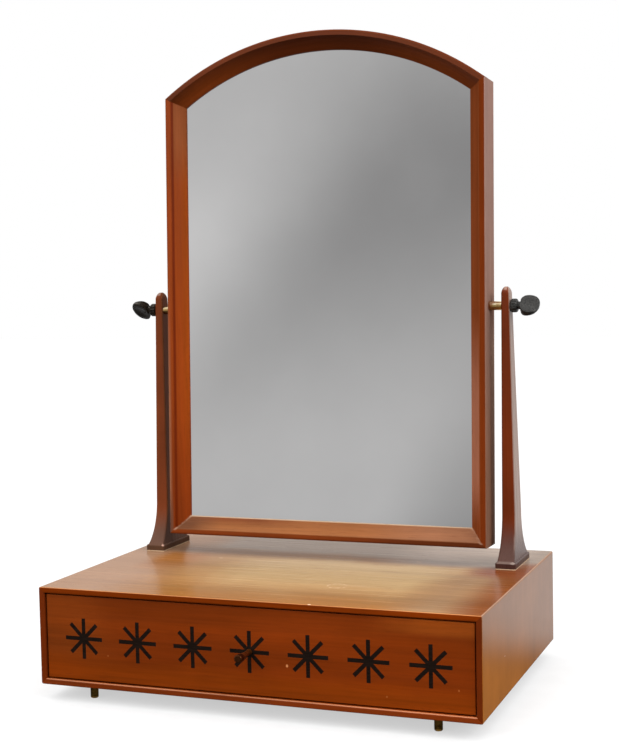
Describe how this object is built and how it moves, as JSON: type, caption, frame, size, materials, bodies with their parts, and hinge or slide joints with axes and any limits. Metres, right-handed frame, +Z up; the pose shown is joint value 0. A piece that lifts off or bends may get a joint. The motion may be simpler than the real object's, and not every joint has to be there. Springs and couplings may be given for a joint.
{
  "type": "table mirror",
  "caption": "Arched dressing-table mirror in a bevelled wooden frame that tilts between posts on a low case with a star-inlaid drawer and short brass pin feet.",
  "frame": {"origin": "on the surface that the feet stand on, below the centre of the whole object's box", "axes": "+Z up, +Y from the drawer's front to the back, +X to the right seen from the front"},
  "size_m": [0.4564, 0.3342, 0.6663],
  "materials": {
    "case_wood": "satin lacquer, reddish brown, fine straight grain",
    "post_wood": "satin lacquer, darker reddish brown",
    "front_wood": "satin lacquer, reddish brown with level grain",
    "drawer_wood": "plain sanded pale timber",
    "inlay_black": "black stained inlay, satin",
    "frame_wood": "satin lacquer, reddish brown",
    "mirror": "silvered glass",
    "back_board": "plain brown board",
    "brass": "aged brass",
    "steel": "plain steel",
    "black_metal": "blackened metal, satin"
  },
  "bodies": {
    "stand": {"case_top_panel": "case_wood", "case_bottom_panel": "case_wood", "case_left_side": "case_wood", "case_right_side": "case_wood", "case_back": "case_wood", "drawer_stops": "drawer_wood", "post_left": "post_wood", "post_right": "post_wood", "post_screws": "steel", "foot_front_left": "brass", "foot_front_right": "brass", "foot_rear_left": "brass", "foot_rear_right": "brass"},
    "drawer": {"drawer_front": "front_wood", "drawer_left_side": "drawer_wood", "drawer_right_side": "drawer_wood", "drawer_back": "drawer_wood", "drawer_bottom": "drawer_wood", "star_inlays": "inlay_black", "drawer_knob": "brass", "knob_screw": "steel"},
    "mirror": {"frame_left_stile": "frame_wood", "frame_right_stile": "frame_wood", "frame_bottom_rail": "frame_wood", "frame_arch_rail": "frame_wood", "mirror_glass": "mirror", "backing_board": "back_board", "backing_pins": "steel", "pivot_insert_left": "brass", "pivot_insert_right": "brass", "spacer_left": "brass", "spacer_right": "brass"},
    "thumbscrew_left": {"thumbscrew_left": "black_metal", "collar_left": "black_metal"},
    "thumbscrew_right": {"thumbscrew_right": "black_metal", "collar_right": "black_metal"}
  },
  "joints": [
    {"name": "drawer_slide", "type": "slide", "parent": "stand", "child": "drawer", "axis": [0, -1, 0], "range_m": [0, 0.22]},
    {"name": "mirror_tilt", "type": "hinge", "parent": "stand", "child": "mirror", "pos_m": [0, 0.0836, 0.3774], "axis": [1, 0, 0], "range_deg": [-148, 152]},
    {"name": "thumbscrew_left_turn", "type": "hinge", "parent": "mirror", "child": "thumbscrew_left", "pos_m": [-0.2, 0.0836, 0.3774], "axis": [-1, 0, 0], "continuous": true},
    {"name": "thumbscrew_right_turn", "type": "hinge", "parent": "mirror", "child": "thumbscrew_right", "pos_m": [0.2, 0.0836, 0.3774], "axis": [1, 0, 0], "continuous": true}
  ]
}
